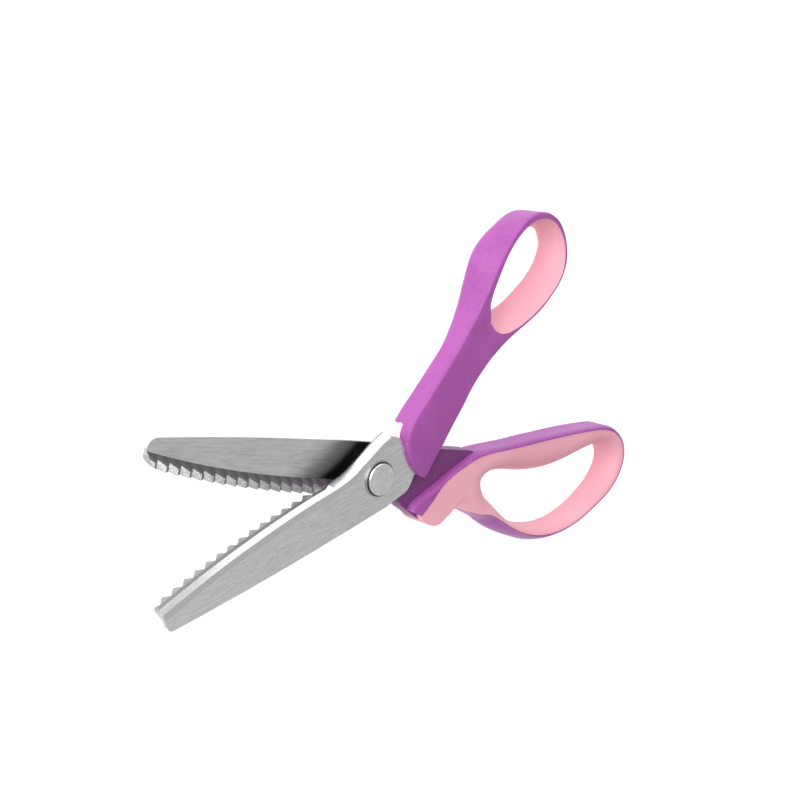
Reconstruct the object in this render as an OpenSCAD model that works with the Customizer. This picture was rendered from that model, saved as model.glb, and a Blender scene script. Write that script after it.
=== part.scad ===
// Pinking shears with a decorative zigzag edge, lying flat.
// +Z is the pivot axis and the shears point along -X. The origin is on the pivot axis,
// in the plane that the shears rest on. Both halves are drawn closed, about the height
// of the cutting surface, and the upper half is then swung open about the pivot.

/* [Pose] */
// Angle between the closed pose and the stored, open pose, in degrees
open_angle = 29; // [0:1:45]

/* [Blades] */
// Distance from the pivot to the blade tips
blade_reach = 101.7; // [90:0.1:110]
// Thickness of the blade sheet
sheet = 1.6; // [1.2:0.1:2]
// Depth of the hollow between a blade's inner face and the cutting surface
hollow = 3; // [2.4:0.1:3.4]
// Width of the toothed land along the cutting edge
land_w = 2.4; // [1.8:0.1:3]
// Spacing of the zigzag teeth
tooth_pitch = 5; // [3:0.5:7]
// Height of the zigzag from trough to crest
tooth_h = 2.2; // [1:0.1:2.6]
// Gap between the meshing teeth of the two blades
mesh_gap = 0.12; // [0.06:0.02:0.3]

/* [Pivot] */
// Radius of the pivot bolt's shank
shank_r = 3; // [2.5:0.5:3.5]
// Radial running clearance round the shank
running_gap = 0.05; // [0.02:0.01:0.1]
// Radius of the bolt's round head
head_r = 6.15; // [5:0.05:7]
// Height of the bolt's head above its washer
head_h = 1.5; // [1:0.1:2]
// Radius of the washers
washer_r = 7; // [6:0.1:7.4]
// Width of the hexagonal cap nut across its flats
nut_af = 10; // [9:0.5:12]

/* [Handles] */
// Height of the cutting surface above the table
cut_z = 8; // [7:0.5:10]
// Height of the thumb grip's front face above the cutting surface
thumb_front = 6.8; // [6:0.1:8]
// Depth of the thumb grip's back face below the cutting surface
thumb_back = 3.4; // [3:0.1:5]
// Height of the finger bow's front face above the cutting surface
finger_front = 4.4; // [3:0.1:6]
// Depth of the thumb ring's back rim below the cutting surface
ring_back = 8; // [6:0.5:8]
// Height of the finger grip's lap face above the cutting surface
lap_z = 1.2; // [0.8:0.1:1.6]
// Gap between the lapping faces of the two handles
lap_gap = 0.5; // [0.3:0.1:0.8]

/* [Hidden] */
$fn = 72;
far = 400;
steel_color = "#bcbcc0";
purple_color = "#98519a";
pink_color = "#f0b4c4";
nylon_color = "#e8e8e4";

plate_out = hollow + sheet;          // outer face of a blade's plate
bore_r = shank_r + running_gap;
tooth_first_r = 27.3;                // radius of the first zigzag trough
tooth_count = ceil((blade_reach + 5 - tooth_first_r) / tooth_pitch);
smooth_r = tooth_first_r - tooth_pitch / 2;

spine_y = 12.3;                      // half width of the blade at its spine
spine_bow_r = 1400;
edge_y = -7.1;                       // the cutting edge where the teeth begin
edge_bow_r = 394;
edge_bow_x = 30;

washer_t = 0.4;
wave_t = 0.6;
contact_gap = 0.05;
head_edge = 0.7;                     // rounding of the head's rim
head_dome = 0.35;                    // rise of the head's crown
head_z = plate_out + contact_gap + washer_t;
spacer_r = 7.5;
nut_wall = 1.2;

// A smooth closed curve through points, n steps from one point to the next
function bend(a, b, c, d, t) =
    0.5 * (2 * b + (c - a) * t + (2 * a - 5 * b + 4 * c - d) * t * t
           + (3 * b - a - 3 * c + d) * t * t * t);
function smooth(p, n = 4) =
    [for (i = [0:len(p) - 1], j = [0:n - 1])
        bend(p[(i + len(p) - 1) % len(p)], p[i], p[(i + 1) % len(p)],
             p[(i + 2) % len(p)], j / n)];

function spine_at(x) = spine_y - spine_bow_r + sqrt(pow(spine_bow_r, 2) - pow(x, 2));
function edge_at(x) =
    edge_y + edge_bow_r - sqrt(pow(edge_bow_r, 2) - pow(max(x - edge_bow_x, 0), 2));

// Outlines of the two handles, closed, seen from the front
finger_back_outline = [
    [18.4, -11.6], [15.4, -8], [14.8, -1], [15.4, 6], [18.5, 10.9], [25, 12], [37, 12.2],
    [46, 12.3], [58.4, 13.4], [76, 17.2], [94, 21.4], [113, 25.5], [124, 27.2], [131.5, 28],
    [137.6, 26.9], [143.1, 23.4], [146.6, 18.3], [147.7, 12], [146.1, 4.6], [141.4, -2.3],
    [134, -9.1], [125.8, -15.1], [117, -19.9], [108.5, -23.2], [99, -24.4], [88, -23.4],
    [78, -21.2], [69, -17.7], [60, -14.5], [53, -12.2], [46.5, -10.2], [41.3, -13.6],
    [38.4, -16.6], [33.5, -17.9], [26.3, -15.2]];
finger_lining_outline = [
    [31, -20.5], [28.6, -15], [30, -10], [34, -4.2], [41, 2.8], [50, 8.4], [60, 12], [76, 15.6],
    [95, 20], [114, 24], [126, 25.8], [136.4, 24.9], [142.4, 21], [145.2, 14.4],
    [144.6, 7], [140.3, -0.2], [132, -7.4], [122, -14.2], [111.5, -19], [101, -21],
    [88, -20.2], [76, -16.6], [66.5, -12.6], [57, -10], [51, -10.8], [45, -15.5], [38, -21.5]];
finger_hole_outline = [
    [63.2, -2], [63.5, 0.8], [66.8, 3.4], [74, 4.3], [84.5, 4.3], [97.5, 5.6], [110.5, 9.7],
    [122.5, 15.2], [130.8, 18.9], [136.8, 17.8], [139.6, 13], [138.4, 6], [133.4, -1.4],
    [125.6, -8.5], [116.6, -14.1], [106.5, -17.4], [94, -18.1], [82, -15.4], [72.5, -9.9],
    [66.4, -5]];
thumb_outline = [
    [19.5, -9.2], [16.8, -5], [15, -0.5], [14.8, 4], [15.8, 9.5], [18, 13.4], [22.7, 16.4],
    [29, 20.2], [38.6, 26.3], [46.6, 31.7], [54.3, 37.2], [60.3, 42.7], [65.2, 48.8],
    [69.2, 54.8], [73.8, 60.2], [80.5, 65], [88.5, 67.9], [96, 68.9], [103, 68.2], [109.8, 65.4],
    [115.2, 57.5], [116.6, 49.2], [113.2, 40], [102.4, 32.1], [90.5, 27.8], [77.6, 25.2],
    [63.9, 21.2], [56.2, 17.2], [51, 13.9], [46.3, 10], [40.2, 5.4], [31, -1.6],
    [23.7, -6.7]];
thumb_lining_outline = [
    [67.6, 39], [67.4, 35.4], [69.3, 31.8], [72.4, 29], [77.5, 27.5], [84, 27.8], [91, 28.9],
    [97, 30.7], [103.4, 33.6], [109, 37.5], [113.2, 42.8], [114.9, 48.6], [114.1, 55.4],
    [110.8, 61], [105.5, 65], [99, 65.8], [92, 63.6], [86, 60], [79.5, 54.8],
    [74, 49.2], [70, 44.2]];
thumb_hole_outline = [
    [74.6, 40.6], [75.8, 36.8], [79.6, 34.8], [86, 35.4], [93, 37.4], [99.8, 39.8], [105.6, 43.4],
    [110, 48.2], [111.4, 53], [110, 57.2], [105.4, 60.4], [98.6, 60.4], [91.5, 57.2],
    [85.5, 52.6], [80, 47.2], [76.4, 43.8]];
// The line along which the front halves of the handles meet, closed
lap_line = [[20.2, -10], [31, -2.6], [46.3, 8.6], [51.5, 12.6]];
// The line along which the back halves meet, closed
back_lap_y = 13.7;

module slab(z0, z1) {
    translate([0, 0, z0]) linear_extrude(z1 - z0) children();
}

function arc(x, y, r, a0, a1, n = 8) =
    [for (i = [0:n]) [x + r * cos(a0 + (a1 - a0) * i / n), y + r * sin(a0 + (a1 - a0) * i / n)]];

// A blade drawn pointing along -X, with its plate below the cutting surface and its
// edge towards -Y. The tip has a round corner at the spine and one at the edge.
module blade_outline(spine_corner, edge_corner) {
    tip_top = spine_at(blade_reach);
    tip_low = edge_at(blade_reach);
    polygon(concat(
        [for (x = [0:8:88]) [-x, spine_at(x)]],
        arc(spine_corner - blade_reach, tip_top - spine_corner, spine_corner, 90, 180),
        arc(edge_corner - blade_reach, tip_low + edge_corner, edge_corner, 180, 270),
        [for (x = [92:-4:20]) [-x, edge_at(x)]],
        heel));
}

// The relieved side of the blade, behind the toothed land along the whole edge
module hollow_outline() {
    polygon(concat(
        [for (x = [blade_reach + 8:-4:20]) [-x, edge_at(x) + land_w]],
        [for (p = heel_edge) p + [0.4, land_w]],
        [[far, heel_edge[3].y + land_w], [far, far], [-far, far]]));
}

// The blade's outline past the pivot: along the edge, across the end and to the spine
heel_edge = [[-14.4, -7.5], [-8, -9.1], [-0.6, -11.6], [9.4, -14.4]];
heel = concat(heel_edge, [[10.2, -12.8], [13, -11.1], [14.7, -9.3], [16.4, -6], [16.4, 6.6],
                          [13, 10.2], [11.2, 11.4], [4, 11.9]]);

// The steel that runs on from each blade inside its handle, as polygon points
rear_tang = [[10, -7], [18, -7.5], [26, -8], [58, 2], [58, 8], [24, 8], [10, 8]];
front_tang = [[10, -7], [18, -9], [29, -15], [48, -29], [52, -23], [34, -9], [22, 1], [10, 8]];

// Everything beyond the zigzag mating surface, whose teeth are rings round the pivot.
// way is 1 for a blade that lies below the surface and -1 for one turned over onto it.
module beyond_teeth(way) {
    rotate_extrude($fn = 180)
        polygon(concat(
            [[0, far], [0, -mesh_gap / 2], [smooth_r, -mesh_gap / 2]],
            [for (i = [0:tooth_count - 1], s = [0, 1])
                [tooth_first_r + (i + s / 2) * tooth_pitch,
                 way * (s - 0.5) * tooth_h - mesh_gap / 2]],
            [[tooth_first_r + tooth_count * tooth_pitch, far]]));
}

module blade(spine_corner, edge_corner, tang, way) {
    color(steel_color)
        difference() {
            union() {
                slab(-plate_out, tooth_h / 2) blade_outline(spine_corner, edge_corner);
                slab(-plate_out, -hollow) polygon(tang);
            }
            slab(-hollow, far) hollow_outline();
            beyond_teeth(way);
            translate([0, 0, -far]) cylinder(h = 2 * far, r = bore_r);
        }
}

// The upper half of the shears, swung open from the closed pose
module swung() {
    rotate([0, 0, open_angle]) children();
}

module rear_blade() {
    translate([0, 0, cut_z]) blade(4.2, 4.2, rear_tang, 1);
}

module front_blade() {
    translate([0, 0, cut_z]) swung() rotate([180, 0, 0]) blade(1.8, 1, front_tang, -1);
}

module pivot_bolt() {
    dome_r = (pow(head_r - head_edge, 2) + pow(head_dome, 2)) / (2 * head_dome);
    color(steel_color)
        translate([0, 0, cut_z]) {
            translate([0, 0, nut_wall - cut_z]) cylinder(h = head_z + cut_z - nut_wall, r = shank_r);
            translate([0, 0, head_z])
                rotate_extrude()
                    polygon(concat(
                        [[0, 0], [head_r, 0]],
                        arc(head_r - head_edge, head_h - head_dome - head_edge, head_edge, 0, 80),
                        [for (i = [5:-1:0])
                            let (x = (head_r - head_edge) * i / 5)
                            [x, head_h - dome_r + sqrt(dome_r * dome_r - x * x)]]));
        }
}

// A flat ring on the pivot axis, between two heights above the cutting surface
module pivot_ring(z0, z1, r_out) {
    translate([0, 0, cut_z + z0])
        difference() {
            cylinder(h = z1 - z0, r = r_out);
            translate([0, 0, -1]) cylinder(h = z1 - z0 + 2, r = bore_r);
        }
}

module head_washer() {
    color(steel_color) pivot_ring(plate_out + contact_gap, head_z, washer_r);
}

module bearing_spacer() {
    color(steel_color) pivot_ring(-hollow, hollow - contact_gap - washer_t, spacer_r);
}

module glide_washer() {
    color(nylon_color) pivot_ring(hollow - contact_gap - washer_t, hollow - contact_gap, spacer_r);
}

module spring_washer() {
    color(steel_color) pivot_ring(-plate_out - wave_t, -plate_out, nut_af / 2 - 0.2);
}

module pivot_nut() {
    nut_top = cut_z - plate_out - wave_t;
    color(steel_color)
        difference() {
            cylinder(h = nut_top, r = nut_af / sqrt(3), $fn = 6);
            translate([0, 0, nut_wall]) cylinder(h = nut_top, r = shank_r);
        }
}

// The region on one side of the lap line, where the finger handle keeps its front half
module finger_front_region() {
    polygon(concat(lap_line, [[60, 40], [far, 40], [far, -60], [10, -60], [14, -18]]));
}

module finger_solid() {
    slab(-cut_z, lap_z) polygon(smooth(finger_back_outline));
    slab(lap_z, finger_front)
        intersection() {
            polygon(smooth(finger_back_outline));
            finger_front_region();
        }
}

module finger_shell() {
    color(purple_color)
        translate([0, 0, cut_z])
            difference() {
                finger_solid();
                slab(-far, far) polygon(smooth(finger_lining_outline));
                tang_pocket(rear_tang);
            }
}

module finger_lining() {
    color(pink_color)
        translate([0, 0, cut_z])
            difference() {
                intersection() {
                    slab(-cut_z, finger_front) polygon(smooth(finger_lining_outline));
                    finger_solid();
                }
                slab(-far, far) polygon(smooth(finger_hole_outline));
                tang_pocket(rear_tang);
            }
}

// The pocket that a blade's root and tang fill inside its handle
module tang_pocket(tang) {
    slab(-plate_out, -hollow) {
        blade_outline(4.2, 4.2);
        polygon(tang);
    }
}

// Closed, the upper half's back half stays above this line
module thumb_back_region() {
    polygon([[17, back_lap_y], [37, back_lap_y + 0.2], [50, back_lap_y + 1.4],
             [far, back_lap_y + 1.4], [far, far], [17, far]]);
}

module thumb_solid() {
    slab(lap_gap + lap_z, thumb_front) polygon(smooth(thumb_outline));
    slab(-thumb_back, lap_gap + lap_z)
        intersection() {
            polygon(smooth(thumb_outline));
            thumb_back_region();
        }
    slab(-ring_back, thumb_front)
        intersection() {
            polygon(smooth(thumb_outline));
            translate([62, 0]) square([80, 90]);
        }
}

module thumb_shell() {
    color(purple_color)
        translate([0, 0, cut_z]) swung()
            difference() {
                thumb_solid();
                slab(-far, far) polygon(smooth(thumb_lining_outline));
                rotate([180, 0, 0]) tang_pocket(front_tang);
            }
}

module thumb_lining() {
    color(pink_color)
        translate([0, 0, cut_z]) swung()
            slab(-ring_back, thumb_front)
                difference() {
                    polygon(smooth(thumb_lining_outline));
                    polygon(smooth(thumb_hole_outline));
                }
}

rear_blade();
front_blade();
pivot_bolt();
head_washer();
bearing_spacer();
glide_washer();
spring_washer();
pivot_nut();
finger_shell();
finger_lining();
thumb_shell();
thumb_lining();
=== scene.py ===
"""Pinking shears: two toothed steel blades on a round-headed pivot, with two-tone handles."""
import math

import bmesh
import bpy
import numpy as np
from mathutils import Matrix


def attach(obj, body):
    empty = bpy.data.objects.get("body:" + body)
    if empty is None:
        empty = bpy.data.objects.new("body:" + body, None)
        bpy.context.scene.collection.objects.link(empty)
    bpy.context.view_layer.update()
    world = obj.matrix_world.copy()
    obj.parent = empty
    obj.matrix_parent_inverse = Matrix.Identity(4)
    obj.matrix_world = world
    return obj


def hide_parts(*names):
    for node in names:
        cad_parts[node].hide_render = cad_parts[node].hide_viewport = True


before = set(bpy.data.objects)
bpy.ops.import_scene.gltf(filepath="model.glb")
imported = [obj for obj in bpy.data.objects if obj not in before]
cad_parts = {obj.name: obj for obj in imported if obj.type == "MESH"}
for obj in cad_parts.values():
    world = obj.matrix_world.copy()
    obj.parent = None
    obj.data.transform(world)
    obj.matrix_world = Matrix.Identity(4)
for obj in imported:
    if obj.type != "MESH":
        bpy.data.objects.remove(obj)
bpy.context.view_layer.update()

# ---------------------------------------------------------------- dimensions, in millimetres
MM = 0.001                 # metres in a millimetre
CUT_Z = 8.0                # height of the cutting surface above the table
OPEN = 29.0                # angle in degrees from the closed pose to the stored one

# Blades
SHEET = 1.6                # thickness of the pressed sheet
HOLLOW = 3.0               # from the cutting surface to the plate's inner face
PLATE_OUT = HOLLOW + SHEET
LAND_W = 2.4               # width of the toothed land
PITCH = 5.0                # from one tooth to the next
TOOTH_H = 2.2              # from trough to crest
FIRST_TROUGH = 27.3        # from the pivot to the first trough
MESH_GAP = 0.12            # left between the two blades' teeth

# Pivot
HEAD_R = 6.15
SHANK_R = 3.0
WASHER_T = 0.4             # thickness of the washer under the head
WASHER_GAP = 0.05          # between that washer and the plate
WASHER_SHADE_R = 6.2        # where the painted shade under the head ends on the washer
WASHER_R = 7.0

# Handles, as heights from the cutting surface
THUMB_FRONT = 6.8
FINGER_FRONT = 4.2
BOW_BACK = -8.0
GRIP_BACK = -3.3
SEAM_Z = -0.5              # where the two halves of the thumb grip meet
LAP_TOP = 1.2              # the finger grip's lap face
LAP_OVER = 1.65            # the underside of the thumb grip above the lap


# ---------------------------------------------------------------- curves and grids
def catmull(points, steps, closed=True):
    """A smooth curve through points: each span is a cubic whose slope at a point is half
    the step from the point before it to the one after it."""
    p = np.asarray(points, float)
    if not closed:
        p = np.vstack([2 * p[0] - p[1], p, 2 * p[-1] - p[-2]])
        a, b, c, d = p[:-3], p[1:-2], p[2:-1], p[3:]
    else:
        a, b, c, d = np.roll(p, 1, 0), p, np.roll(p, -1, 0), np.roll(p, -2, 0)
    t = (np.arange(steps) / steps)[None, :, None]
    a, b, c, d = (q[:, None, :] for q in (a, b, c, d))
    curve = 0.5 * (2 * b + (c - a) * t + (2 * a - 5 * b + 4 * c - d) * t ** 2
                   + (3 * b - a - 3 * c + d) * t ** 3)
    curve = curve.reshape(-1, p.shape[1])
    return curve if closed else np.vstack([curve, p[-2]])


def turned(points, degrees):
    """Points turned about the pivot axis."""
    a = math.radians(degrees)
    out = np.array(points, float)
    out[..., 0] = points[..., 0] * math.cos(a) - points[..., 1] * math.sin(a)
    out[..., 1] = points[..., 0] * math.sin(a) + points[..., 1] * math.cos(a)
    return out


def at_height(points, z):
    """Points of the plane raised to a height."""
    return np.concatenate([points, np.full((len(points), 1), z)], 1)


def grid_faces(rows, cols, wrap_rows=False, wrap_cols=False):
    """Quads of a grid of rows by cols points, joined round where it wraps."""
    r = np.arange(rows if wrap_rows else rows - 1)
    c = np.arange(cols if wrap_cols else cols - 1)
    r0, c0 = np.meshgrid(r, c, indexing="ij")
    r1, c1 = (r0 + 1) % rows, (c0 + 1) % cols
    return np.stack([r0 * cols + c0, r1 * cols + c0, r1 * cols + c1, r0 * cols + c1], -1).reshape(-1, 4)


def ease(x, lo, hi):
    """0 below lo, 1 above hi, with a smooth S between."""
    t = np.clip((x - lo) / (hi - lo), 0, 1)
    return t * t * (3 - 2 * t)


def piece(name, verts, faces, material, body, sharp_deg=35.0, finish=None):
    """A mesh from arrays of points in mm about the cutting surface, in the part's frame.
    finish is the number of each face's own material, where the piece has several."""
    mesh = bpy.data.meshes.new(name)
    v = np.asarray(verts, float).reshape(-1, 3) + (0, 0, CUT_Z)
    mesh.from_pydata((v * MM).tolist(), [], [list(map(int, f)) for f in faces])
    if finish is not None:
        mesh.polygons.foreach_set("material_index", finish)
    mesh.update()
    bm = bmesh.new()
    bm.from_mesh(mesh)
    bmesh.ops.remove_doubles(bm, verts=bm.verts, dist=1e-6)
    bmesh.ops.dissolve_degenerate(bm, edges=bm.edges, dist=1e-6)
    bmesh.ops.recalc_face_normals(bm, faces=bm.faces)
    bm.to_mesh(mesh)
    bm.free()
    mesh.shade_smooth()
    mesh.set_sharp_from_angle(angle=math.radians(sharp_deg))
    obj = bpy.data.objects.new(name, mesh)
    bpy.context.scene.collection.objects.link(obj)
    for metal in material if isinstance(material, list) else [material]:
        mesh.materials.append(metal)
    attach(obj, body)
    return obj


# ---------------------------------------------------------------- materials
def grey(value):
    """A colour without a hue."""
    return (value,) * 3


class Nodes:
    """A short way to lay out a material's nodes."""

    def __init__(self, name):
        self.mat = bpy.data.materials.new(name)
        self.mat.use_nodes = True
        self.tree = self.mat.node_tree
        self.shader = self.tree.nodes["Principled BSDF"]
        self.coord = self.add("ShaderNodeTexCoord").outputs["Object"]

    def add(self, kind, **values):
        node = self.tree.nodes.new(kind)
        for key, value in values.items():
            if key in node.inputs:
                node.inputs[key].default_value = value
            else:
                setattr(node, key, value)
        return node

    def link(self, a, b):
        self.tree.links.new(a, b)

    def set(self, **values):
        for key, value in values.items():
            self.shader.inputs[key.replace("_", " ")].default_value = value

    def noise(self, scale, detail=3.0, rough=0.55, stretch=(1, 1, 1), turn=0.0):
        """Noise on the object's own place, squeezed along an axis to make streaks."""
        spin = self.add("ShaderNodeMapping")
        spin.inputs["Rotation"].default_value = (0, 0, math.radians(turn))
        squeeze = self.add("ShaderNodeMapping")
        squeeze.inputs["Scale"].default_value = stretch
        tex = self.add("ShaderNodeTexNoise", Scale=scale, Detail=detail, Roughness=rough)
        self.link(self.coord, spin.inputs["Vector"])
        self.link(spin.outputs["Vector"], squeeze.inputs["Vector"])
        self.link(squeeze.outputs["Vector"], tex.inputs["Vector"])
        return tex.outputs["Fac"]

    def ramp(self, fac, stops):
        """A colour that runs through (place, colour) stops."""
        node = self.add("ShaderNodeValToRGB")
        ramp = node.color_ramp
        while len(ramp.elements) < len(stops):
            ramp.elements.new(0.5)
        for element, (place, colour) in zip(ramp.elements, stops):
            element.position = place
            element.color = (*colour, 1)
        self.link(fac, node.inputs["Fac"])
        return node.outputs["Color"]

    def mix(self, a, b, share):
        """A blend of two values."""
        node = self.add("ShaderNodeMix", data_type="FLOAT")
        node.inputs[0].default_value = share
        self.link(a, node.inputs[2])
        self.link(b, node.inputs[3])
        return node.outputs[0]

    def multiply(self, a, b):
        """The product of two colours."""
        node = self.add("ShaderNodeMix", data_type="RGBA", blend_type="MULTIPLY")
        node.inputs[0].default_value = 1.0
        self.link(a, node.inputs[6])
        self.link(b, node.inputs[7])
        return node.outputs[2]

    def along(self, axis, turn, lo, hi):
        """0 at lo and 1 at hi metres along an axis that is turned about the pivot."""
        a = math.radians(-turn)
        x, y, z = axis
        node = self.add("ShaderNodeVectorMath", operation="DOT_PRODUCT")
        node.inputs[1].default_value = (x * math.cos(a) - y * math.sin(a),
                                        x * math.sin(a) + y * math.cos(a), z)
        self.link(self.coord, node.inputs[0])
        ranged = self.add("ShaderNodeMapRange")
        ranged.inputs["From Min"].default_value = lo
        ranged.inputs["From Max"].default_value = hi
        self.link(node.outputs["Value"], ranged.inputs["Value"])
        return ranged.outputs["Result"]

    def paint(self, colour):
        self.link(colour, self.shader.inputs["Base Color"])

    def roughen(self, fac, lo, hi):
        """Roughness that runs from lo to hi with fac."""
        node = self.add("ShaderNodeMapRange")
        node.inputs["To Min"].default_value = lo
        node.inputs["To Max"].default_value = hi
        self.link(fac, node.inputs["Value"])
        self.link(node.outputs["Result"], self.shader.inputs["Roughness"])

    def bump(self, height, strength, distance):
        node = self.add("ShaderNodeBump", Strength=strength, Distance=distance)
        self.link(height, node.inputs["Height"])
        self.link(node.outputs["Normal"], self.shader.inputs["Normal"])


def brushed_steel(name, turn, tone, tip_light_tone=1.0, heel_painted_shade=False):
    """Satin steel, brushed lengthwise: fine short streaks in tone, gloss and height; painted light makes it a
    touch brighter towards the tip, and painted shade of the front blade darkens the heel of the hollow side."""
    m = Nodes(name)
    m.set(Metallic=1.0)
    streaks = m.noise(1500, 3, 0.6, (0.09, 1, 1), turn)
    grain = m.noise(2600, 2)
    colour = m.ramp(m.mix(streaks, grain, 0.5), [(0.42, grey(tone * 0.86)), (0.58, grey(tone * 1.12))])
    # Painted light: the plate grows brighter towards the tip.
    along = m.along((-1, 0, 0), turn, 0.0, 0.1)
    colour = m.multiply(colour, m.ramp(along, [(0.0, grey(1.0)), (1.0, grey(tip_light_tone))]))
    if heel_painted_shade:
        # Painted shade: the heel darkens where the front blade's shadow and reflection fall.
        heel = m.along((0.7071, -0.7071, 0), turn, -0.0285, -0.0125)
        stops = [(0.0, grey(1.0)), (0.28, grey(0.83)), (0.6, grey(0.36)), (1.0, grey(0.08))]
        colour = m.multiply(colour, m.ramp(heel, stops))
    m.paint(colour)
    m.roughen(m.noise(60, 3), 0.27, 0.36)
    m.bump(streaks, 0.12, 0.00003)
    return m.mat


def ground_steel(name, tone, rough, contrast=0.1):
    """Steel left by the grinding wheel: a close grain in tone and height."""
    m = Nodes(name)
    m.set(Metallic=1.0)
    grain = m.noise(1900, 3, 0.6)
    dark, light = tone * (1 - contrast), min(tone * (1 + contrast), 1)
    m.paint(m.ramp(grain, [(0.35, grey(dark)), (0.65, grey(light))]))
    m.roughen(m.noise(300), rough - 0.04, rough + 0.04)
    m.bump(grain, 0.15, 0.00003)
    return m.mat


def washer_steel():
    """The head washer: grey at its rim, and black where the head meets it: painted shade under the head."""
    m = Nodes("washer_painted_shade")
    m.set(Metallic=1.0, Roughness=0.4)
    flat = m.add("ShaderNodeVectorMath", operation="MULTIPLY")
    flat.inputs[1].default_value = (1, 1, 0)
    m.link(m.coord, flat.inputs[0])
    radius = m.add("ShaderNodeVectorMath", operation="LENGTH")
    m.link(flat.outputs["Vector"], radius.inputs[0])
    ranged = m.add("ShaderNodeMapRange")
    ranged.inputs["From Min"].default_value = WASHER_SHADE_R * MM
    ranged.inputs["From Max"].default_value = WASHER_R * MM
    m.link(radius.outputs["Value"], ranged.inputs["Value"])
    # Painted shade: black next to the head, grey towards the rim.
    m.paint(m.ramp(ranged.outputs["Result"], [(0.3, grey(0.05)), (0.75, grey(0.5))]))
    m.bump(m.noise(1900, 3), 0.15, 0.00003)
    return m.mat


def turned_steel(name, tone):
    """Satin steel of the pivot, with a fine even grain."""
    m = Nodes(name)
    m.set(Metallic=1.0)
    grain = m.mix(m.noise(2200, 3, 0.7), m.noise(420, 3), 0.4)
    m.paint(m.ramp(grain, [(0.38, grey(tone * 0.82)), (0.62, grey(tone * 1.1))]))
    m.roughen(m.noise(140), 0.24, 0.34)
    m.bump(grain, 0.12, 0.00002)
    return m.mat


def moulded(name, dark, light, rough, grain_scale, grain_depth, table_shade=1.0):
    """Satin moulded plastic: a soft mottle in colour and gloss, and a fine spark-grain. Painted shade
    dims it towards the table's height, down to the last argument's share of its colour."""
    m = Nodes(name)
    mottle = m.mix(m.noise(55, 4, 0.6), m.noise(grain_scale, 3, 0.6), 0.6)
    colour = m.ramp(mottle, [(0.4, dark), (0.6, light)])
    if table_shade < 1:
        # Painted shade: darker towards the table's height, low inside the rings.
        height = m.along((0, 0, 1), 0, 0.0, 0.012)
        colour = m.multiply(colour, m.ramp(height, [(0.0, grey(table_shade)), (1.0, grey(1.0))]))
    m.paint(colour)
    m.roughen(m.noise(220), rough - 0.05, rough + 0.05)
    m.set(Specular_IOR_Level=0.22)
    m.bump(m.noise(grain_scale, 2), 0.15, grain_depth)
    return m


def purple_plastic(name, share):
    """The shells' purple; share is 1 outside and less in the lap, where it is painted shade."""
    dark = tuple(share * c for c in (0.35, 0.078, 0.34))
    light = tuple(share * c for c in (0.44, 0.112, 0.425))
    return moulded(name, dark, light, 0.38, 1700, 0.00004).mat


def pink_lining():
    """The soft inserts, which let a little light in."""
    # The last 0.8 is painted shade, darker low inside the rings.
    m = moulded("pink_lining", (0.88, 0.42, 0.50), (0.94, 0.475, 0.555), 0.5, 2400, 0.00005, 0.8)
    m.set(Subsurface_Weight=0.15, Subsurface_Scale=0.002)
    m.shader.inputs["Subsurface Radius"].default_value = (1.0, 0.5, 0.5)
    return m.mat


def nylon():
    """The glide washer's off-white."""
    return moulded("nylon", (0.78, 0.78, 0.74), (0.82, 0.82, 0.78), 0.45, 3000, 0.00003).mat


STEEL_REAR = brushed_steel("rear_blade_brushed", 0, 0.80, 1.0, True)
STEEL_FRONT = brushed_steel("front_blade_brushed", -OPEN, 0.84, 1.16)
STEEL_BEVEL = ground_steel("bevel_ground", 0.80, 0.3)
# The strip is polished, with a lower roughness, and its near-white tone is a painted highlight.
STEEL_STRIP = ground_steel("strip_polished_painted_highlight", 0.97, 0.22)
STEEL_LIP = ground_steel("lip_dull", 0.3, 0.4)
STEEL_TOOTH_ENDS = ground_steel("tooth_ends_dull", 0.42, 0.4)
STEEL_TIP = ground_steel("tip_end_dull", 0.55, 0.4)
STEEL_TEETH = ground_steel("teeth_ground", 0.45, 0.3, 0.35)
# Near-black: painted shade on the flange's inner side, in the gap between the blades.
STEEL_INSIDE_SHADE = ground_steel("flange_inside_painted_shade", 0.16, 0.4)
STEEL_WASHER = washer_steel()
STEEL_PIVOT = turned_steel("pivot_steel", 0.95)
PURPLE = purple_plastic("purple_plastic", 1.0)
# The same purple at half brightness: painted shade in the lap under the thumb grip.
PURPLE_LAP_SHADED = purple_plastic("purple_plastic_lap_painted_shade", 0.5)
PINK = pink_lining()
NYLON = nylon()


# ---------------------------------------------------------------- blades
# Half widths of a blade past the pivot, at distances x behind it: the spine's side, and the
# edge's side with its flange, which stops square where the tang begins
HEEL_SPINE = [(0, 12.3), (4, 11.9), (11.2, 11.4), (13, 10.2), (15.2, 8.2), (16.4, 6.6), (20, 6.0)]
HEEL_EDGE = [(-19.5, -7.2), (-14.4, -7.5), (-10.7, -8.2), (-6.2, -9.7), (-0.6, -11.6), (5, -13.5),
             (9.4, -14.4)]
TANG_EDGE = [(9.45, -13.3), (13, -11.1), (14.7, -9.3), (16.5, -7), (20, -6)]
FLANGE_END = 9.42
BEND_IN = 4.7              # from the edge to the bend line on the hollow side
STRIP_RUN = 1.4            # how far the flange's outer face leans out
BEVEL_W = 2.7              # width of the ground band beside the flange
SPINE_Y = 12.3             # half width at the spine, by the pivot
SPINE_BOW_R = 1400.0
EDGE_Y = -7.1              # the edge's Y where it is level
EDGE_BOW_R = 394.0
EDGE_BOW_START = 30        # from the pivot to where the edge starts to rise
HEEL_START = 19.5          # from the pivot to where the heel's points take over from the arc


def spine_at(r):
    """Half width at the spine: a shallow arc, widest at the pivot, then down to the tang."""
    arc_part = SPINE_Y - SPINE_BOW_R + np.sqrt(SPINE_BOW_R ** 2 - r ** 2)
    return np.where(r > 0, arc_part, np.interp(-r, *zip(*HEEL_SPINE)))


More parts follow.
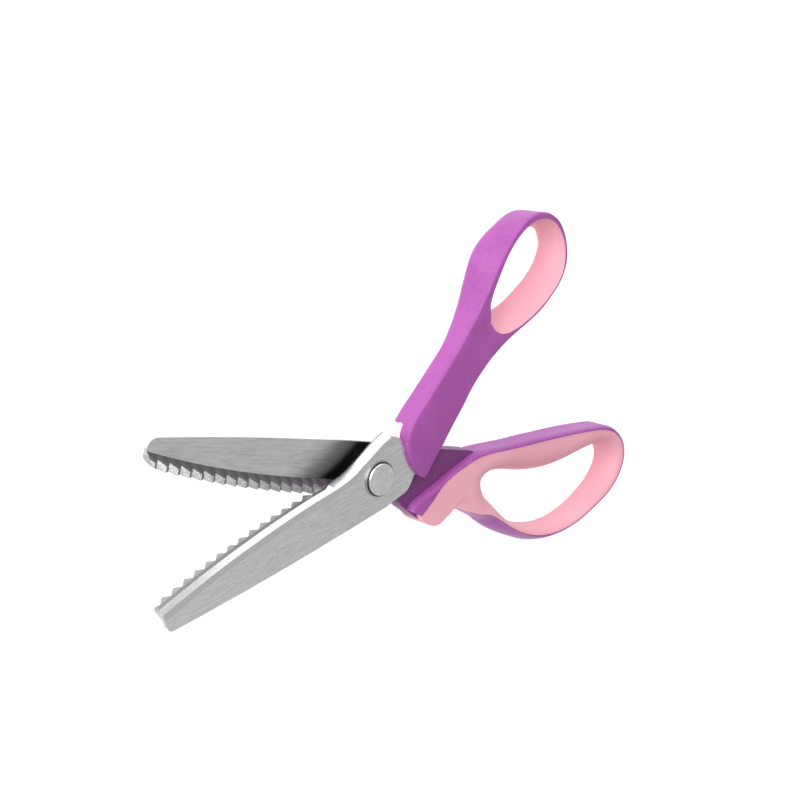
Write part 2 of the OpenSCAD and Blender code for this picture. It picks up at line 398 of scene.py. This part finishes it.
def edge_at(r):
    """The cutting edge: level near the pivot, then a long arc up to the tip, and past the
    pivot a slant down to the flange's end and a chamfer to the tang."""
    bow = EDGE_Y + EDGE_BOW_R - np.sqrt(EDGE_BOW_R ** 2 - np.maximum(r - EDGE_BOW_START, 0) ** 2)
    heel = np.interp(-r, *zip(*(HEEL_EDGE + TANG_EDGE)))
    return np.where(r > HEEL_START, bow, heel)


def zigzag(r):
    """Height of the mating surface: a triangle wave in the distance r from the pivot."""
    wave = np.abs((r - FIRST_TROUGH) / PITCH % 1 - 0.5)
    return np.where(r > FIRST_TROUGH - PITCH / 2, (0.5 - 2 * wave) * TOOTH_H, 0.0)


def blade_sections(reach, corner):
    """Radii of the blade's cross-sections: every crest and trough, with even steps between,
    close steps round the tip's corners, and a pair where the flange stops."""
    root = np.concatenate([np.arange(-20, 22, 1.0), [-FLANGE_END - 0.01, -FLANGE_END + 0.01]])
    toothed = np.arange(FIRST_TROUGH - PITCH, reach - 0.5, PITCH / 10)
    tip = reach - corner * (1 - np.cos(np.linspace(0, math.pi / 2, 18)))
    return np.unique(np.round(np.concatenate([root, toothed, tip]), 4))


def corner_cut(left, radius):
    """How far a corner of this radius cuts in at a distance left from the tip's end."""
    d = np.clip(radius - left, 0, radius)
    return radius - np.sqrt(np.maximum(radius ** 2 - d ** 2, 0))


def trimmed(y, z, low, top):
    """A side of the cross-sections cut off at the blade's outline: where a column would lie
    outside it, the column moves to the outline, at the height that the side has there."""
    inside = np.clip(y, low[:, None], top[:, None])
    heights = [np.interp(new, old[order], level[order]) for new, old, level, order in
               zip(inside, y, z, np.argsort(y, axis=1, kind="stable"))]
    return inside, np.array(heights)


def blade(name, reach, spine_corner, edge_corner, heel_limit, way, plate, body):
    """A loft of cross-sections, each on a circle round the pivot. A section runs from the
    spine along the outer face, down the outer side of the flange, over the toothed land and
    back along the hollow side. way is 1 for the rear blade and -1 for the front one."""
    r = blade_sections(reach, max(spine_corner, edge_corner))
    one = np.ones_like(r)
    flange = np.where(r > -FLANGE_END, 1.0, 0.0)
    toothed = ease(r, 21, 25)
    edge = np.where(r < 8, np.maximum(edge_at(r), heel_limit), edge_at(r))
    top = spine_at(r) - corner_cut(reach - r, spine_corner)
    cut = corner_cut(reach - r, edge_corner)
    low = np.where(cut > 0.02, edge + cut, edge - 1)

    def level(with_flange, without):
        return without + (with_flange - without) * flange

    # Outer side: spine, plate, bevel, strip, and the lip above the teeth
    lip = np.interp(r, [22, 35, 60], [0.05, 0.1, 0.5])
    run = (STRIP_RUN + lip * toothed) * flange
    strip_z = level(-PLATE_OUT + 2.05 * toothed + 3.8 * (1 - toothed), -PLATE_OUT + 0.3)
    lip_z = level(-1.25 * toothed - 0.5 * (1 - toothed), -HOLLOW - 0.3)
    outer = [(spine_at(r), -PLATE_OUT), (0.5 * (spine_at(r) + edge), -PLATE_OUT),
             (edge + run + BEVEL_W, -PLATE_OUT), (edge + run + BEVEL_W - 0.1, -PLATE_OUT + 0.05),
             (edge + run, -PLATE_OUT + 0.08), (edge + run - STRIP_RUN * flange, strip_z),
             (edge - 0.01, lip_z)]
    # Hollow side: the teeth lean out to the crests, and the slope cuts each off on a slant
    wave = way * zigzag(r)
    crest = wave / TOOTH_H + 0.5
    land_z = level(wave - MESH_GAP / 2, -HOLLOW)
    teeth_out = edge - (0.05 + 0.4 * crest) * toothed * flange
    inner = [(teeth_out, land_z), (edge + 0.5 * LAND_W * flange, land_z),
             (edge + LAND_W * (1.25 - 0.5 * crest) * flange, land_z), (edge + BEND_IN * flange, -HOLLOW),
             (edge + (BEND_IN + 0.5) * flange, -HOLLOW), (0.5 * (spine_at(r) + edge) + 2, -HOLLOW),
             (spine_at(r), -HOLLOW)]
    sides = []
    for side in (outer, inner):
        y = np.stack([c[0] * one for c in side], 1)
        z = np.stack([c[1] * one for c in side], 1)
        sides.append(trimmed(y, z, low, top))
    y = np.hstack([sides[0][0], sides[1][0]])
    z = np.hstack([sides[0][1], sides[1][1]])

    bow = ease(r, 12, 24)[:, None]
    x = -np.sign(r)[:, None] * np.sqrt(np.maximum(r[:, None] ** 2 - bow * y ** 2, 0.0))
    x = np.where(r[:, None] > 0, x, -r[:, None])
    n, k = y.shape
    verts = np.stack([x, y, z], -1)
    faces = [tuple(f) for f in grid_faces(n, k, wrap_cols=True)]
    finish = [0, 0, 0, 1, 2, 3, 4, 5, 5, 6, 0, 0, 0, 0] * (n - 1) + [7, 7]
    faces += [tuple(range(k)), tuple((n - 1) * k + i for i in range(k))]
    if way < 0:
        verts = verts * (1, -1, -1)
        verts = turned(verts, OPEN)
    metals = [plate, STEEL_BEVEL, STEEL_STRIP, STEEL_LIP, STEEL_TOOTH_ENDS, STEEL_TEETH, STEEL_INSIDE_SHADE,
              STEEL_TIP]
    return piece(name, verts, faces, metals, body, 20, finish)


rear_blade = blade("rear_blade_steel", 101.2, 3.6, 3.4, -12.2, 1, STEEL_REAR, "lower_half")
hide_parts("rear_blade")
front_blade = blade("front_blade_steel", 101.6, 1.8, 1.2, -20, -1, STEEL_FRONT, "upper_half")
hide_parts("front_blade")


# ---------------------------------------------------------------- pivot
def lathe(name, profile, material, body, steps=96):
    """A profile of (radius, height) points carried round the pivot axis."""
    p = np.asarray(profile, float)
    a = np.linspace(0, 2 * math.pi, steps, endpoint=False)[:, None]
    verts = np.stack([p[:, 0] * np.cos(a), p[:, 0] * np.sin(a), p[:, 1] + 0 * a], -1)
    faces = grid_faces(steps, len(p), wrap_rows=True, wrap_cols=True)
    return piece(name, verts, faces, material, body, 40)


def arc(cx, cy, r, a0, a1, n=10):
    """Points on a circle between two angles in degrees."""
    a = np.radians(np.linspace(a0, a1, n))
    return [(cx + r * math.cos(t), cy + r * math.sin(t)) for t in a]


def bolt_profile():
    """From the end of the shank up to the head's seat, round its rim and over its crown."""
    seat = PLATE_OUT + WASHER_GAP + WASHER_T
    end = 1.2 - CUT_Z
    rim = 0.55
    crown = [(x, seat + 1.5 - 0.3 * (x / (HEAD_R - rim)) ** 2) for x in np.linspace(HEAD_R - rim, 0, 12)]
    shank = [(0, end), (SHANK_R, end), (SHANK_R, seat)]
    underside = [(HEAD_R - 0.15, seat), (HEAD_R, seat + 0.15)]
    return (shank + underside
            + arc(HEAD_R - rim, seat + 1.2 - rim, rim, 0, 80, 8) + crown)


bolt = lathe("pivot_bolt_turned", bolt_profile(), STEEL_PIVOT, "lower_half")
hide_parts("pivot_bolt")


# ---------------------------------------------------------------- handles
# Ribs of the thumb handle, closed, going round its outline: the front ridge, the belly of
# the side wall, and the inner end, which lies on the grip's centre line or on the ring's rim
GRIP_START = np.array([22.0, 2.0])
GRIP_END = np.array([66.9, 35.5])
THUMB_GRIP_LEFT = [
    (19.7, -9.2, 0.00), (17.4, -6.4, 0.00), (15.6, -2.0, 0.00), (14.9, 3.8, 0.03), (16.0, 10.0, 0.08),
    (18.6, 13.6, 0.13), (22.7, 16.6, 0.20), (29.2, 20.4, 0.32), (38.3, 26.0, 0.50), (46.8, 31.3, 0.66),
    (54.3, 36.6, 0.80), (60.8, 41.3, 0.92)]
THUMB_RING = [
    (66.2, 45.8, 66.0, 46.4, 67.2, 35.7), (70.6, 49.9, 69.2, 52.0, 68.8, 42.5),
    (75.0, 54.0, 72.0, 57.6, 71.6, 46.8), (80.0, 58.4, 76.6, 62.2, 76.1, 51.7),
    (85.5, 62.3, 82.8, 65.4, 82.0, 57.5), (91.0, 65.6, 90.0, 67.1, 88.0, 61.8),
    (97.0, 67.8, 97.0, 67.6, 94.4, 64.6), (103.4, 68.0, 103.4, 67.5, 100.5, 65.6),
    (109.2, 65.6, 109.2, 65.3, 106.3, 64.3), (113.6, 61.2, 113.8, 60.8, 111.0, 61.1),
    (115.7, 56.0, 116.1, 55.8, 113.8, 55.7), (116.2, 50.2, 116.8, 49.8, 114.7, 49.7),
    (115.2, 44.2, 115.8, 43.6, 113.5, 44.0), (112.3, 39.2, 112.9, 38.5, 110.7, 39.0),
    (107.5, 35.0, 108.0, 34.2, 106.1, 35.3), (101.3, 31.6, 101.7, 30.8, 100.3, 32.3),
    (95.1, 29.1, 95.5, 28.2, 94.5, 30.1), (89.0, 27.6, 89.3, 26.7, 88.5, 28.6),
    (82.5, 26.3, 82.8, 25.4, 82.0, 27.7), (77.0, 25.2, 77.2, 24.4, 76.5, 27.7),
    (72.1, 23.9, 72.3, 23.3, 72.2, 29.0), (67.7, 22.4, 67.9, 22.0, 69.0, 31.8)]
THUMB_GRIP_RIGHT = [
    (63.8, 20.9, 1.00), (59.8, 18.9, 0.92), (56.0, 16.8, 0.80), (51.1, 13.6, 0.66), (46.5, 9.8, 0.50),
    (38.5, 3.9, 0.32), (31.1, -1.7, 0.20), (27.5, -4.1, 0.13), (24.5, -6.3, 0.08), (22.0, -8.4, 0.03)]


def thumb_ribs(steps):
    """The thumb handle's ribs as smooth arrays: ridge, belly and inner end."""
    rows = [(x, y, x, y, *(GRIP_START + k * (GRIP_END - GRIP_START))) for x, y, k in THUMB_GRIP_LEFT]
    rows += THUMB_RING
    rows += [(x, y, x, y, *(GRIP_START + k * (GRIP_END - GRIP_START))) for x, y, k in THUMB_GRIP_RIGHT]
    rows = np.array(rows)
    curve = catmull(rows, steps)
    # The grip's inner ends stay on the straight centre line, with the same steps both ways
    t = np.arange(len(rows) * steps) / steps
    wrapped = np.vstack([rows, rows[:1]])
    left = t <= len(THUMB_GRIP_LEFT)
    right = t >= len(THUMB_GRIP_LEFT) + len(THUMB_RING)
    for axis in (4, 5):
        straight = np.interp(t, np.arange(len(wrapped)), wrapped[:, axis])
        curve[:, axis] = np.where(left | right, straight, curve[:, axis])
    return curve[:, 0:2], curve[:, 2:4], curve[:, 4:6], left | right


def belly_share(z, z_front, z_back):
    """How far the side wall has swelled from ridge to belly at a height: a smooth hump."""
    t = np.clip((z_front - z) / (z_front - z_back), 0, 1)
    return np.sin(np.clip(t / 0.78, 0, 1) * math.pi / 2) ** 1.2 * (1 - 0.35 * ease(t, 0.8, 1.0))


def handle_half(ridge, belly, inner, front, z_hi, z_lo, round_hi, round_lo, tall=1.0, tall_lo=1.0,
                under=None):
    """Sections of a handle from the inner end over the front, down the side wall and back
    under: each edge is a quarter ellipse, tall or tall_lo times as deep as it is wide; the wall
    swells from the ridge at the front's height to the belly. under gives the underside's
    height from the place, where it isn't level."""
    out = ridge - inner
    width = np.linalg.norm(out, axis=1, keepdims=True)
    z_hi, z_lo = (np.broadcast_to(np.asarray(q, float), (len(ridge),))[:, None] for q in (z_hi, z_lo))
    columns = []

    def share_of(inset):
        return 1 - np.minimum(inset / np.maximum(width, 1e-6), 1)

    def at(inset, z):
        share = share_of(inset)
        swell = (belly - ridge) * belly_share(z, front, BOW_BACK) * share ** 3
        columns.append(np.concatenate([inner + out * share + swell, z], 1))

    r_hi = np.minimum(round_hi, 0.85 * width)
    r_lo = np.minimum(round_lo, 0.7 * width)
    for f in np.linspace(0, 1, 5)[:-1]:
        at(width + (r_hi - width) * f, z_hi)
    for a in np.radians(np.linspace(0, 90, 7)):
        at(r_hi * (1 - math.sin(a)), z_hi - tall * r_hi * (1 - math.cos(a)))
    for f in np.linspace(0, 1, 12)[1:-1]:
        at(0 * width, (z_hi - tall * r_hi) * (1 - f) + (z_lo + tall_lo * r_lo) * f)
    for a in np.radians(np.linspace(90, 0, 7)):
        at(r_lo * (1 - math.sin(a)), z_lo + tall_lo * r_lo * (1 - math.cos(a)))
    for f in np.linspace(1, 0, 15)[1:]:
        inset = width + (r_lo - width) * f
        place = inner + out * share_of(inset)
        at(inset, z_lo if under is None else under(place)[:, None])
    return np.stack(columns, 1)


def handle_piece(name, sections, slit, material, body, turn=0.0):
    """Closes the sections into a solid: the inner wall is left out along a slit, where the
    two sides of a grip meet on its centre line."""
    n, k, _ = sections.shape
    faces = grid_faces(n, k, wrap_rows=True)
    wall = grid_faces(n, k, wrap_rows=True, wrap_cols=True).reshape(n, k, 4)[:, -1]
    keep = ~(slit & np.roll(slit, -1))
    faces = np.vstack([faces, wall[keep]])
    return piece(name, turned(sections, turn), faces, material, body, 50)


LAP_EDGE_Y = 13.8          # the line's Y at LAP_EDGE_X, a little outside the lap's own edge
LAP_EDGE_X = 18
LAP_EDGE_SLOPE = 0.03


def lap_edge(x):
    """Closed, the thumb grip's back half stays above this line."""
    return LAP_EDGE_Y + LAP_EDGE_SLOPE * (x - LAP_EDGE_X)


def thumb_underside(p):
    """The front half reaches down to the seam, but clears the lap below the lap's edge."""
    return np.where(p[:, 1] > lap_edge(p[:, 0]), SEAM_Z, LAP_OVER)


ridge, belly, inner, slit = thumb_ribs(8)
from_start = np.linalg.norm(inner - GRIP_START, axis=1)
ring_share = ease(from_start, 36, 62)
thumb_back = GRIP_BACK + (BOW_BACK - GRIP_BACK) * ring_share
front_half = handle_half(ridge, belly, inner, THUMB_FRONT, THUMB_FRONT, thumb_underside(ridge),
                         1.2, 0.02, under=thumb_underside)
thumb_front_shell = handle_piece("thumb_shell_front", front_half, slit, PURPLE, "upper_half",
                                 OPEN)
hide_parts("thumb_shell")

BACK_START = np.array([30.0, 19.0])
BACK_END_X = 18.4          # the back half's blade end


def thumb_back_ribs():
    """The back half keeps the outline above the lap line, and its grip starts there."""
    keep_r = ridge.copy()
    keep_r[:, 1] = np.maximum(keep_r[:, 1], lap_edge(keep_r[:, 0]))
    keep_r[:, 0] = np.maximum(keep_r[:, 0], BACK_END_X)
    shift = np.clip(from_start / np.linalg.norm(GRIP_END - GRIP_START), 0, 1)
    keep_i = np.where(slit[:, None], BACK_START + shift[:, None] * (GRIP_END - BACK_START), inner)
    grow = belly - ridge
    return keep_r, keep_r + grow, keep_i


ridge_b, belly_b, inner_b = thumb_back_ribs()
back_half = handle_half(ridge_b, belly_b, inner_b, THUMB_FRONT, SEAM_Z, thumb_back, 0.02, 1.6,
                        tall_lo=1 + 2 * ring_share[:, None])
handle_piece("thumb_shell_back", back_half, slit, PURPLE, "upper_half", OPEN)


def ring_of(outline, centre, count):
    """An outline resampled at even angles about a centre that sees all of it."""
    p = catmull(outline, 12)
    a = np.arctan2(p[:, 1] - centre[1], p[:, 0] - centre[0])
    order = np.argsort(a)
    a, p = a[order], p[order]
    angles = np.linspace(-math.pi, math.pi, count, endpoint=False)
    return np.stack([np.interp(angles, a, p[:, i], period=2 * math.pi) for i in (0, 1)], 1)


THUMB_CENTRE = (93.0, 48.0)
THUMB_HOLE = [
    (74.6, 40.6), (75.8, 36.8), (79.6, 34.8), (86.0, 35.6), (93.0, 37.8), (99.8, 40.4), (105.6, 44.2),
    (110.0, 48.8), (111.4, 53.2), (110.0, 57.2), (105.4, 60.4), (98.6, 60.4), (91.5, 57.2),
    (85.5, 52.6), (80.0, 47.2), (76.4, 43.8)]


def lining_sections(rim, waist, z_rim, z_back, waist_z):
    """From the front rim down into the hole and out to the back rim: the wall leans in to a
    waist along a half wave, then closes behind along the shell."""
    cols = []
    for t in np.linspace(0, 1, 25):
        z = z_rim + (z_back - z_rim) * t
        if z > waist_z:
            lean = math.sin(math.pi * ((z_rim - z) / (2 * (z_rim - waist_z))))
        else:
            lean = 0.55 + 0.45 * math.cos(math.pi * (waist_z - z) / (waist_z - z_back))
        cols.append(at_height(rim + (waist - rim) * lean, z))
    cols += [at_height(rim, z) for z in np.linspace(z_back, z_rim, 5)]
    return np.stack(cols, 1)


rim = ring_of([(r[4], r[5]) for r in THUMB_RING], THUMB_CENTRE, 160)
waist = ring_of(THUMB_HOLE, THUMB_CENTRE, 160)
sections = lining_sections(rim, waist, THUMB_FRONT - 0.25, BOW_BACK + 0.2, -4.0)
thumb_lining = piece("thumb_lining_soft", turned(sections, OPEN),
                     grid_faces(*sections.shape[:2], wrap_rows=True, wrap_cols=True),
                     PINK, "upper_half", 50)
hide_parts("thumb_lining")

# Ribs of the finger bow, going over the top: outer ridge, belly, lining rim, hole
FINGER_RIBS = [
    (20.8, -12.4, 20.8, -12.4, 26.6, -14.0, 63.2, 1.0),
    (22.2, -9.4, 22.2, -9.4, 28.4, -12.0, 63.6, 1.7), (27.5, -5.2, 27.5, -5.2, 31.6, -7.6, 64.2, 2.3),
    (33.5, -0.9, 33.5, -0.9, 35.6, -1.6, 65.0, 2.9), (40.1, 3.9, 40.1, 3.9, 40.6, 2.9, 66.2, 3.4),
    (45.6, 7.8, 45.6, 7.8, 45.8, 6.2, 67.8, 3.9), (50.8, 11.4, 50.8, 11.4, 51.2, 9.4, 70.0, 4.2),
    (58.0, 13.4, 58.0, 13.3, 58.6, 12.0, 73.0, 4.4), (66.9, 15.1, 66.9, 15.0, 67.2, 13.9, 77.0, 4.5),
    (76.0, 17.0, 76.0, 16.8, 76.5, 15.8, 81.5, 4.4), (85.0, 19.2, 85.0, 18.9, 85.6, 17.9, 87.8, 4.5),
    (94.0, 21.2, 94.0, 20.8, 94.8, 20.0, 95.9, 5.4),
    (103.3, 23.3, 103.2, 22.9, 104.0, 22.0, 103.9, 7.3),
    (113.1, 25.2, 113.0, 24.9, 113.6, 23.9, 111.9, 10.3),
    (123.4, 27.0, 123.4, 26.6, 123.2, 25.5, 119.9, 14.0),
    (130.4, 27.9, 130.4, 27.6, 130.0, 26.0, 126.4, 17.0),
    (136.9, 26.8, 137.0, 26.7, 136.0, 25.1, 131.8, 18.9),
    (142.0, 23.8, 142.3, 23.8, 140.6, 22.7, 136.0, 18.2),
    (145.1, 19.6, 145.6, 19.6, 143.7, 19.3, 138.6, 15.8),
    (146.5, 14.4, 147.0, 14.4, 145.2, 14.7, 139.7, 12.4),
    (146.1, 9.5, 146.7, 9.3, 144.9, 9.5, 139.2, 8.3), (144.4, 4.4, 145.1, 3.9, 143.1, 4.5, 137.2, 3.8),
    (141.3, -0.4, 142.0, -1.2, 139.9, -0.4, 134.2, -0.5),
    (136.9, -5.0, 137.6, -5.9, 135.4, -4.7, 130.0, -4.8),
    (131.1, -9.6, 131.7, -11.0, 130.2, -8.8, 125.2, -8.9),
    (125.8, -13.5, 126.3, -15.0, 125.0, -12.7, 119.8, -12.5),
    (119.7, -17.0, 120.2, -18.7, 119.0, -16.1, 113.8, -15.4),
    (112.6, -20.0, 113.0, -22.1, 112.0, -18.9, 107.2, -17.4),
    (105.2, -21.9, 105.2, -24.2, 104.4, -20.6, 100.4, -18.2),
    (97.5, -22.1, 97.2, -24.7, 96.6, -21.0, 93.6, -18.1),
    (89.5, -21.0, 89.0, -23.5, 88.4, -20.0, 87.1, -16.8),
    (81.8, -19.0, 81.0, -21.8, 80.8, -17.9, 80.8, -14.9),
    (74.5, -16.4, 73.6, -19.7, 73.6, -15.2, 75.6, -12.0),
    (68.0, -14.0, 67.4, -17.2, 67.0, -13.0, 71.6, -9.0),
    (61.0, -13.4, 64.5, -15.7, 60.0, -12.8, 68.4, -6.6),
    (55.5, -12.7, 61.5, -14.7, 53.0, -11.9, 66.3, -4.6)]
CHOIL = [
    (48.0, -9.8, 64.6, -2.6), (45.0, -10.4, 63.8, -1.4), (42.4, -12.4, 63.4, -0.7), (40.0, -15.2, 63.2, -0.2),
    (37.4, -17.2, 63.1, 0.1), (33.8, -17.8, 63.1, 0.4), (29.6, -16.7, 63.1, 0.7)]

FALL_W = 12.0              # width over which the lining falls into the finger hole
# Directions in degrees in which the falls leave the hole at the palm's end
PALM_TOP = (180.5, 178, 175, 171, 167, 162, 156, 148)
PALM_LOW = (203, 199, 195, 191, 188, 185.5, 183)

ribs = np.array(FINGER_RIBS)
bow = catmull(ribs, 6, closed=False)
sections = handle_half(bow[:, 0:2], bow[:, 2:4], bow[:, 4:6], FINGER_FRONT, FINGER_FRONT, BOW_BACK,
                       1.6, 2.0, tall=2.4, tall_lo=1.6)
n, k, _ = sections.shape
faces = [tuple(f) for f in grid_faces(n, k, wrap_cols=True)]
faces += [tuple(range(k)), tuple((n - 1) * k + i for i in range(k))]
finger_shell = piece("finger_shell_bow", sections, faces, PURPLE, "lower_half", 50)
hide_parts("finger_shell")

LAP_BLOCK = [
    (18.6, -11.4), (15.3, -8.0), (14.8, -1.0), (15.4, 6.0), (18.5, 10.8), (25.0, 12.0), (37.0, 12.3),
    (46.0, 12.5), (51.0, 12.4), (52.5, 11.4), (50.0, 8.0), (44.0, 1.0), (37.0, -5.0), (35.0, -14.5),
    (32.0, -16.5), (28.5, -16.0), (24.4, -14.2)]
LAP_CENTRE = np.array([34.0, 3.0])
LAP_BACK = BOW_BACK + 1.2
block = catmull(LAP_BLOCK, 8)
centre = np.broadcast_to(LAP_CENTRE, block.shape)
sections = handle_half(block, block, centre, FINGER_FRONT, LAP_TOP, LAP_BACK, 0.4, 1.4)
handle_piece("finger_shell_lap", sections, np.ones(len(block), bool), PURPLE_LAP_SHADED, "lower_half")


def finger_lining_sections():
    """From the lining's outer rim over its broad face and down into the hole: the face is
    level until near the hole, then falls along a superellipse, upright at the hole. Beside
    the palm the falls fan out evenly, so that no line crosses the choil's notch."""
    outer = np.vstack([ribs[:, 4:8], np.array(CHOIL)])
    towards = np.degrees(np.arctan2(outer[:, 1] - outer[:, 3], outer[:, 0] - outer[:, 2])) % 360
    towards[:len(PALM_TOP)] = PALM_TOP
    towards[-len(PALM_LOW):] = PALM_LOW
    reach = np.minimum(np.linalg.norm(outer[:, 0:2] - outer[:, 2:4], axis=1), FALL_W)
    way = np.stack([np.cos(np.radians(towards)), np.sin(np.radians(towards))], 1) * reach[:, None]
    curve = catmull(np.hstack([outer, outer[:, 2:4] + way]), 6)
    rim, hole, middle = curve[:, 0:2], curve[:, 2:4], curve[:, 4:6]
    z_hi, z_lo = FINGER_FRONT - 0.2, BOW_BACK + 0.15
    cols = [at_height(rim, z_hi)]
    for u in 1 - (1 - np.linspace(0, 1, 30)) ** 1.6:
        z = z_lo + (z_hi - z_lo) * (1 - u ** 2.4) ** 0.5
        cols.append(at_height(hole + (middle - hole) * (1 - u), z))
    cols += [at_height(hole + (middle - hole) * f, z_lo) for f in (0.25, 0.5, 0.75)]
    cols += [at_height(middle, z_lo), at_height(rim, z_lo)]
    cols += [at_height(rim, z) for z in np.linspace(z_lo, z_hi, 6)[1:-1]]
    return np.stack(cols, 1)


sections = finger_lining_sections()
finger_lining = piece("finger_lining_soft", sections,
                      grid_faces(*sections.shape[:2], wrap_rows=True, wrap_cols=True),
                      PINK, "lower_half", 50)
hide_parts("finger_lining")

# The small parts keep their CAD shapes and take these materials
for node, material in (("head_washer", STEEL_WASHER), ("bearing_spacer", STEEL_PIVOT),
                       ("spring_washer", STEEL_PIVOT), ("pivot_nut", STEEL_PIVOT), ("glide_washer", NYLON)):
    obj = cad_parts[node]
    for slot in obj.material_slots:
        slot.material = material


# ---------------------------------------------------------------- floor, light, camera
TILT = math.radians(45)    # of the line of sight from straight down
SWING = math.radians(16)   # of the line of sight about the pivot axis
BASE = math.radians(-7.4)  # of the part's X axis about the pivot axis
AWAY = 581.25              # from the camera to the pivot, along the line of sight
PIVOT_RIGHT = -10.74       # the pivot's place to the right of the line of sight
PIVOT_UP = -28.50375       # and above it
LENS = 69.75               # focal length
SENSOR = 36
AIM = (0.03, 0.02, 0)      # where the lights point, in metres


def camera_axes():
    """The part's axes seen in the camera's axes: X and Y are turned about the pivot axis."""
    n = np.array([math.sin(TILT) * math.cos(SWING), -math.sin(TILT) * math.sin(SWING), math.cos(TILT)])
    m = np.array([math.sin(SWING), math.cos(SWING), 0.0])
    k = np.cross(m, n)
    x = k * math.cos(BASE) - m * math.sin(BASE)
    y = k * math.sin(BASE) + m * math.cos(BASE)
    return np.stack([x, y, n], 1)


def add_camera():
    """The camera, placed so that the pivot lies where the constants above say."""
    axes = camera_axes()
    pivot = np.array([PIVOT_RIGHT, PIVOT_UP, -AWAY])
    place = np.array([0, 0, CUT_Z]) - axes.T @ pivot
    data = bpy.data.cameras.new("camera")
    data.sensor_width = SENSOR
    data.lens = LENS
    data.clip_start = 0.01
    camera = bpy.data.objects.new("camera", data)
    bpy.context.scene.collection.objects.link(camera)
    matrix = np.eye(4)
    matrix[:3, :3] = axes.T
    matrix[:3, 3] = place * MM
    camera.matrix_world = Matrix(matrix.tolist())
    bpy.context.scene.camera = camera


def area_light(name, direction, size, distance, power):
    """A square light towards the object from a direction in the part's frame."""
    d = np.asarray(direction, float)
    d = d / np.linalg.norm(d)
    data = bpy.data.lights.new(name, "AREA")
    data.size = size
    data.energy = power
    light = bpy.data.objects.new(name, data)
    bpy.context.scene.collection.objects.link(light)
    up = np.array([0, 0, 1.0])
    side = np.cross(up, d)
    side /= np.linalg.norm(side)
    up = np.cross(d, side)
    matrix = np.eye(4)
    matrix[:3, :3] = np.stack([side, up, d], 1)
    matrix[:3, 3] = d * distance + np.array(AIM)
    light.matrix_world = Matrix(matrix.tolist())


def add_floor():
    """A wide pale floor at the table's height."""
    mesh = bpy.data.meshes.new("floor")
    mesh.from_pydata([(-3, -3, 0), (3, -3, 0), (3, 3, 0), (-3, 3, 0)], [], [(0, 1, 2, 3)])
    floor = bpy.data.objects.new("floor", mesh)
    bpy.context.scene.collection.objects.link(floor)
    pale = Nodes("pale_floor")
    pale.set(Roughness=0.9, Emission_Strength=0.77)
    pale.shader.inputs["Base Color"].default_value = (*grey(0.5), 1)
    pale.shader.inputs["Emission Color"].default_value = (*grey(1), 1)
    mesh.materials.append(pale.mat)


def add_world():
    """Even white light from all round."""
    world = bpy.data.worlds.new("studio")
    world.use_nodes = True
    background = world.node_tree.nodes["Background"]
    background.inputs["Color"].default_value = (*grey(1), 1)
    background.inputs["Strength"].default_value = 0.5
    bpy.context.scene.world = world


add_camera()
add_floor()
add_world()
area_light("key", (-0.9, 0.35, 0.5), 1.2, 1.2, 13)
area_light("back", (0.1, 0.95, 0.35), 1.0, 1.0, 2)
bpy.context.scene.view_settings.view_transform = "Standard"
